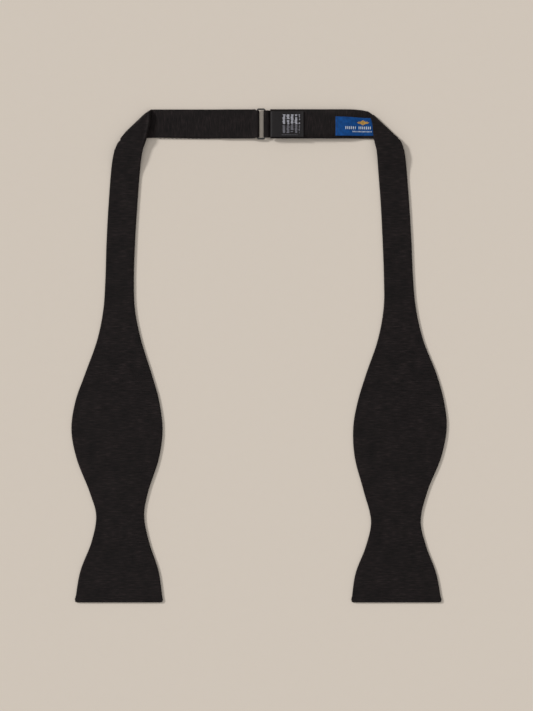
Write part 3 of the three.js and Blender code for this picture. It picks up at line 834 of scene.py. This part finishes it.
LEFT_BULGE = (0.5, 1.0, 0.6)
RIGHT_BULGE = (0.25, 0.5, 0.9)
LEFT_RIM = 1.4
make_half("left", -1, LEFT_STATIONS, 0.0, left_neck_rows(), 11.0, LEFT_RIM, LEFT_TURN, LEFT_BULGE)
make_half("right", 1, RIGHT_STATIONS, RIGHT_FIRST_T, right_neck_rows(), 23.0, 0.0, RIGHT_TURN, RIGHT_BULGE)
for word in ("front", "back"):
    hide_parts(f"left_ring_wrap_{word}_panel")

# The linings and turned seams inside the tubes keep their CAD shape.
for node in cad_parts.values():
    inner = node.name.endswith(("interlining", "seam"))
    if inner and not node.hide_render:
        node.data.materials.clear()
        node.data.materials.append(CANVAS if node.name.endswith("interlining") else STRAP_SILK)

# ---- Size adjuster ----


def rounded_rectangle(half_x, half_y, corner, steps=8):
    """Points round a rectangle with round corners, each with its outward direction."""
    found = []
    for sign_x, sign_y, start in ((1, 1, 0), (-1, 1, 90), (-1, -1, 180), (1, -1, 270)):
        for degrees in spread(start, start + 90, steps):
            angle = math.radians(degrees)
            out = Vector((math.cos(angle), math.sin(angle)))
            middle = Vector((sign_x * (half_x - corner), sign_y * (half_y - corner)))
            found.append((middle + out * corner, out))
    return found


def wire_ring():
    """The ring: one wire bent to a rectangle with round corners, with its joint in one long side."""
    sides = 20
    vertices = []
    stations = rounded_rectangle(RING_HALF_X, RING_HALF_Y, RING_CORNER)
    for point, out in stations:
        for angle in spread(0.0, 2 * math.pi, sides)[:-1]:
            reach = WIRE_R * math.cos(angle)
            x = RING_X + point.x + out.x * reach
            y = BAND_Y + point.y + out.y * reach
            vertices.append((x, y, WIRE_Z + WIRE_R * math.sin(angle)))
    faces = grid_faces(len(stations), sides, closed=True)
    last = (len(stations) - 1) * sides
    faces += [(last + c, last + (c + 1) % sides, (c + 1) % sides, c) for c in range(sides)]
    piece = finish_mesh("adjuster_ring_wire", METAL, vertices, faces)
    outward(piece)
    return piece


def slide():
    """The three-bar slide: a plate with two slots and eased edges, stamped from sheet."""
    curve = bpy.data.curves.new("slide_outline", "CURVE")
    curve.dimensions = "2D"
    curve.fill_mode = "BOTH"
    ease = 0.14
    half_x = CENTRE_BAR / 2 + SLIDE_SLOT + OUTER_BAR
    outlines = [(0.0, half_x - ease, SLIDE_SLOT_HALF + SLIDE_SIDE - ease, SLIDE_CORNER)]
    for side in (-1, 1):
        middle = side * (CENTRE_BAR + SLIDE_SLOT) / 2
        outlines.append((middle, SLIDE_SLOT / 2 + ease, SLIDE_SLOT_HALF + ease, 0.35))
    for middle, wide, tall, corner in outlines:
        points = [point for point, _ in rounded_rectangle(wide, tall, corner, 5)]
        line = curve.splines.new("POLY")
        line.points.add(len(points) - 1)
        for target, point in zip(line.points, points):
            target.co = ((middle + point.x) * MM, point.y * MM, 0, 1)
        line.use_cyclic_u = True
    curve.extrude = (SLIDE_T / 2 - ease) * MM
    curve.bevel_depth = ease * MM
    curve.bevel_resolution = 2
    holder = bpy.data.objects.new("slide_holder", curve)
    bpy.context.scene.collection.objects.link(holder)
    bpy.context.view_layer.update()
    mesh = bpy.data.meshes.new_from_object(holder)
    bpy.data.objects.remove(holder)
    piece = bpy.data.objects.new("adjuster_slide", mesh)
    bpy.context.scene.collection.objects.link(piece)
    mesh.materials.clear()
    mesh.materials.append(METAL)
    for vertex in mesh.vertices:
        vertex.co += Vector((SLIDE_X, BAND_Y, SLIDE_Z)) * MM
    mesh.update()
    return piece


ring = wire_ring()
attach(ring, "ring")
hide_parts("adjuster_ring")
buckle = slide()
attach(buckle, "slide")
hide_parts("slide_buckle")

# ---- Adjusting strap ----
UNDER_BAR_Z = SLIDE_Z - SLIDE_T / 2 - 0.05 - STRAP_T / 2
RETURN_Z = UNDER_BAR_Z - STRAP_T - 0.05
LOOP_MID_R = WRAP_R + STRAP_T / 2
SEWN_Z = ABOVE_SLIDE - 0.1 - STRAP_T / 2
SLIDE_BODY = 5.3
STRAP_ROLL = 0.3  # reach of the round on the strap's edge
SEWN_END_X = 59.4
LOOP_LEAD = 0.5
LOOP_X = RIGHT_WIRE_X + LOOP_LEAD


def by_slide(points):
    return [(SLIDE_X + x, z) for x, z in points]


def strap(name, points, steps, node, body=None):
    piece = shell(name, spline(points, steps), STRAP_T, STRAP_SILK, STRAP_ROLL)
    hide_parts(node)
    if body:
        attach(piece, body)
    return piece


OVER_BAR = [(0, 1.9), (0.9, 1.85), (1.6, 1.51), (2.15, 1.0), (2.8, 0.62)]
OVER_BAR += [(3.7, UNDER_BAR_Z), (SLIDE_BODY, UNDER_BAR_Z)]
threaded_points = by_slide([(-x, z) for x, z in OVER_BAR[:0:-1]] + OVER_BAR)
threaded = strap("adjusting_strap_threaded", threaded_points, 4, "adjusting_strap_threaded_run", "slide")

sewn_points = [
    (SLIDE_X + SLIDE_BODY, UNDER_BAR_Z),
    (SLIDE_X + 6, UNDER_BAR_Z + 0.2),
    (57.2, SEWN_Z - 0.3),
    (58, SEWN_Z - 0.02),
    (SEWN_END_X, SEWN_Z),
]
sewn = strap("adjusting_strap_sewn", sewn_points, 4, "adjusting_strap_sewn_end")
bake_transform(sewn)

front_points = [
    (SLIDE_X - SLIDE_BODY, UNDER_BAR_Z),
    (30, UNDER_BAR_Z),
    (14, UNDER_BAR_Z),
    (11, UNDER_BAR_Z + 0.04),
    (8.6, UNDER_BAR_Z + 0.35),
    (6.2, WIRE_Z + LOOP_MID_R - 0.3),
    (LOOP_X, WIRE_Z + LOOP_MID_R),
]
front_run = strap("adjusting_strap_front", front_points, 6, "adjusting_strap_front_run")
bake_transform(front_run)

return_points = [
    (LOOP_X, WIRE_Z - LOOP_MID_R),
    (6.5, RETURN_Z + 0.08),
    (9, RETURN_Z + 0.01),
    (12, RETURN_Z),
    (30, RETURN_Z),
    (SLIDE_X - 4, RETURN_Z),
]
return_run = strap("adjusting_strap_return", return_points, 6, "adjusting_strap_return_run")
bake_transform(return_run)

end_points = by_slide(
    [
        (-4, RETURN_Z),
        (-2.6, RETURN_Z + 0.05),
        (-1.3, UNDER_BAR_Z - 0.07),
        (0, UNDER_BAR_Z - 0.02),
        (0.55, UNDER_BAR_Z - 0.01),
        (0.87, 0.68),
        (0.92, SLIDE_Z),
        (0.87, 1.43),
        (0.55, 1.56),
        (0, 1.56),
        (-0.55, 1.56),
        (-0.87, 1.43),
        (-0.92, 1.25),
        (-0.92, 1.02),
    ]
)
end_loop = strap("adjusting_strap_end", end_points, 4, "adjusting_strap_end_loop", "slide")

turn = [(LOOP_X, WIRE_Z + LOOP_MID_R)]
for angle in spread(math.pi / 2, 1.5 * math.pi, 12):
    turn.append((RIGHT_WIRE_X + LOOP_MID_R * math.cos(angle), WIRE_Z + LOOP_MID_R * math.sin(angle)))
turn.append((LOOP_X, WIRE_Z - LOOP_MID_R))
ring_loop = strap("adjusting_strap_loop", turn, 2, "adjusting_strap_ring_loop", "strap_loop")

# ---- Labels ----
BAND_TOP_Z = TUBE + 0.05
CARE_T = 0.2
WOVEN_T = 0.22
LABEL_ROLL = 0.12  # reach of the round on a label's edge
CARE_EDGES = (152.5, 170.3)
CARE_MARK_LIFT = 0.29  # height of the woven marks over the neckband
WOVEN_MARK_LIFT = 0.37
MARK_RISE = 0.05


def band_top(x, lift=0.0):
    return right_base(x) + BAND_TOP_Z + lift


# The care label is a folded tape: its upper leaf ends in the loop of the fold at the right.
CARE_LIFTS = [(8.1, -0.1), (8.9, 0.12), (12, 0.2), (20, 0.18), (26, 0.2), (29.5, 0.38), (30.9, 0.5)]
CARE_LIFTS += [(31.15, 0.34), (30.9, 0.14), (29.6, 0.1)]
care_path = [(x, band_top(x, lift)) for x, lift in CARE_LIFTS]
care_line = spline(care_path, 5)
care = shell("care_label_tape", care_line, CARE_T, SATIN, LABEL_ROLL, [CARE_EDGES] * len(care_line))
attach(care, "right_neckband")
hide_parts("care_label")

WOVEN_LIFTS = [(53.5, 0.1), (53.55, 0.24), (53.9, 0.3), (55, 0.24), (60, 0.2), (66, 0.22), (72, 0.18)]
WOVEN_LIFTS += [(78, 0.16), (80, 0.15)]
woven_line = spline([(x, band_top(x, lift)) for x, lift in WOVEN_LIFTS], 6)
woven_edges = []
for spot in woven_line:
    share = smoothstep((spot.x - 54) / 26)
    woven_edges.append((mix(153.4, 153.6, share), mix(166.8, 165.9, share)))
woven = shell("woven_label_tape", woven_line, WOVEN_T, BLUE, LABEL_ROLL, woven_edges)
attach(woven, "right_neckband")
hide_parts("woven_label")

# ---- Stitches and woven marks ----


def lozenge_mesh(name, material, marks, rise):
    """Many small rounded pads in one mesh. A mark is (centre, half along, half across, turn)."""
    vertices, faces = [], []
    sides, rings = 8, ((1.0, 0.0), (0.92, 0.5), (0.6, 0.86), (0.0, 1.0))
    for centre, half_along, half_across, turned in marks:
        start = len(vertices)
        cosine, sine = math.cos(turned), math.sin(turned)
        for wide, high in rings[:-1]:
            for angle in spread(0.0, 2 * math.pi, sides)[:-1]:
                along = half_along * wide * math.copysign(abs(math.cos(angle)) ** 0.5, math.cos(angle))
                across = half_across * wide * math.copysign(abs(math.sin(angle)) ** 0.5, math.sin(angle))
                x = centre[0] + along * cosine - across * sine
                y = centre[1] + along * sine + across * cosine
                vertices.append((x, y, centre[2] + rise * high))
        vertices.append((centre[0], centre[1], centre[2] + rise))
        for ring_index in range(len(rings) - 2):
            for c in range(sides):
                low = start + ring_index * sides
                after = (c + 1) % sides
                faces.append((low + c, low + after, low + sides + after, low + sides + c))
        top = start + (len(rings) - 2) * sides
        faces += [(top + c, top + (c + 1) % sides, start + (len(rings) - 1) * sides) for c in range(sides)]
        faces.append(tuple(start + c for c in reversed(range(sides))))
    return finish_mesh(name, material, vertices, faces)


def jitter(number, seed):
    """A repeatable value from -1 to 1."""
    return noise.noise(Vector((number * 1.37 + 0.31, seed * 2.11 + 0.17, 0.53))) * 2


def dash_columns(xs, rows_y, half_across, seed):
    """Short dashes of uneven length in columns, in place of washing instructions."""
    marks = []
    for column, x in enumerate(xs):
        for row, y in enumerate(rows_y):
            number = column * 31 + row
            if jitter(number, seed) > 0.8:
                continue
            reach = 0.95 + 0.25 * jitter(number, seed + 3)
            shift = 0.25 * jitter(number, seed + 5)
            spot = (x + shift, y, band_top(x, CARE_MARK_LIFT + 0.1 * smoothstep((x - 26) / 4)))
            marks.append((spot, reach, half_across, 0.0))
    return marks


COLUMN_X = [17.4 + 2.86 * i for i in range(5)]
upper_marks = dash_columns(COLUMN_X, [161.8 + 0.68 * i for i in range(10)], 0.22, 2.0)
lower_marks = dash_columns(COLUMN_X, [155.5 + 0.68 * i for i in range(9)], 0.2, 6.0)
line_z = band_top(16, CARE_MARK_LIFT)
line_marks = [((16.2 + 1.15 * i, 154.0, line_z), 0.4, 0.1, 0.0) for i in range(13)]
for name, marks, material in (
    ("care_label_marks_upper", upper_marks, GREY_THREAD),
    ("care_label_marks_lower", lower_marks + line_marks, DIM_THREAD),
):
    piece = lozenge_mesh(name, material, marks, MARK_RISE)
    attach(piece, "right_neckband")


def woven_marks():
    """A plain gold lozenge over two rows of plain pale blocks."""
    gold = []
    for i in range(-4, 5):
        for j in range(-3, 4):
            if abs(i) / 4.6 + abs(j) / 3.4 <= 1:
                x = 72.6 + 0.96 * i
                gold.append(((x, 162.6 + 0.5 * j, band_top(x, WOVEN_MARK_LIFT)), 0.45, 0.23, 0.0))
    tall, low = [], []
    for i in range(14):
        x = 60.6 + 1.32 * i
        if i != 6:
            tall.append(((x, 159.0 + 0.05 * jitter(i, 1.0), band_top(x, WOVEN_MARK_LIFT)), 0.34, 1.1, 0.0))
    for i in range(15):
        x = 65.6 + 0.92 * i
        low.append(((x, 156.4 + 0.05 * jitter(i, 4.0), band_top(x, WOVEN_MARK_LIFT)), 0.24, 0.5, 0.0))
    return gold, tall + low


gold_marks, pale_marks = woven_marks()
for name, marks, material in (
    ("woven_label_lozenge", gold_marks, GOLD_THREAD),
    ("woven_label_blocks", pale_marks, WHITE_THREAD),
):
    piece = lozenge_mesh(name, material, marks, MARK_RISE)
    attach(piece, "right_neckband")

ROW_X = 54.7
row_z = band_top(ROW_X, 0.33)
label_row = [((ROW_X, y, row_z), 0.42, 0.14, math.pi / 2) for y in spread(154.2, 166.0, 11)]
row_piece = lozenge_mesh("woven_label_stitches", BLUE_THREAD, label_row, 0.1)
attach(row_piece, "right_neckband")
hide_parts("woven_label_stitching")


def stitch_row(name, marks, body, node):
    piece = lozenge_mesh(name, BLACK_THREAD, marks, 0.14)
    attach(piece, body)
    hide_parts(node)


def edge_stitches(start, base):
    """Slip stitches along the neckband's lower edge, a slanted one every three millimetres."""
    spots = spread(start, start + 34, 12)
    return [((x, BAND_Y - STRAP_HALF - 0.02, base + MIDDLE - 0.07), 0.75, 0.16, 0.12) for x in spots]


stitch_row("left_slip_stitches", edge_stitches(-69, 0.0), "left_neckband", "left_slip_stitching")
stitch_row("right_slip_stitches", edge_stitches(14, ABOVE_SLIDE), "right_neckband", "right_slip_stitching")
across_band = spread(BAND_Y - 8.3, BAND_Y + 8.3, 9)
tail_marks = [((TAIL_END_X - 0.25, y, 0.62), 0.7, 0.16, 0.5) for y in across_band]
stitch_row("left_tail_stitches", tail_marks, "left_neckband", "left_tail_stitching")
sewn_marks = [((SEWN_END_X + 0.2, y, SEWN_Z + 0.06), 0.7, 0.16, 0.5) for y in across_band]
stitch_row("sewn_end_stitches", sewn_marks, "right_neckband", "sewn_end_stitching")
slide_marks = [((SLIDE_X - 0.95, y, 0.82), 0.6, 0.12, math.pi / 2) for y in across_band]
stitch_row("slide_end_stitches", slide_marks, "slide", "slide_end_stitching")

# ---- Floor, light and camera ----


def pale_floor():
    """A plain pale table top, very slightly uneven in tone."""
    mesh = bpy.data.meshes.new("floor")
    half = 20.0
    corners = [(-half, -half, 0), (half, -half, 0), (half, half, 0), (-half, half, 0)]
    mesh.from_pydata(corners, [], [(0, 1, 2, 3)])
    floor = bpy.data.objects.new("floor", mesh)
    bpy.context.scene.collection.objects.link(floor)
    colour = (0.631, 0.565, 0.494)
    s = Shader("pale_table", colour, 0.9, Specular_IOR_Level=0.05)
    vector = s.add("ShaderNodeTexCoord").outputs["Object"]
    tone = s.noise(vector, 160, 2.0)
    stops = [(0.3, tinted(colour, 0.997)), (0.7, tinted(colour, 1.003))]
    s.link(s.ramp(tone, stops), s.shader, "Base Color")
    mesh.materials.append(s.material)


def sun(name, azimuth, elevation, strength, softness):
    """A distant soft light. Azimuth is the direction it comes from, anticlockwise from +X, in degrees."""
    light = bpy.data.lights.new(name, "SUN")
    light.energy = strength
    light.angle = math.radians(softness)
    lamp = bpy.data.objects.new(name, light)
    turn, tilt = math.radians(azimuth), math.radians(elevation)
    towards = Vector((math.cos(turn) * math.cos(tilt), math.sin(turn) * math.cos(tilt), math.sin(tilt)))
    lamp.rotation_euler = towards.to_track_quat("Z", "Y").to_euler()
    bpy.context.scene.collection.objects.link(lamp)


def studio():
    world = bpy.data.worlds.new("studio")
    world.use_nodes = True
    world.node_tree.nodes["Background"].inputs["Color"].default_value = (1, 0.99, 0.975, 1)
    world.node_tree.nodes["Background"].inputs["Strength"].default_value = 0.6
    bpy.context.scene.world = world
    sun("key_light", 150, 27, 2.7, 9)
    bpy.context.scene.view_settings.view_transform = "Standard"
    bpy.context.scene.view_settings.look = "None"


def overhead_camera():
    """Straight above the tie, a little to the right of its middle."""
    data = bpy.data.cameras.new("camera")
    data.lens = 85
    data.sensor_width = 36
    data.clip_end = 20
    camera = bpy.data.objects.new("camera", data)
    framed_height = 0.4977
    camera.location = (0.0052, 0.0, framed_height / 2 / (data.sensor_width / 2 / data.lens))
    bpy.context.scene.collection.objects.link(camera)
    bpy.context.scene.camera = camera


pale_floor()
studio()
overhead_camera()
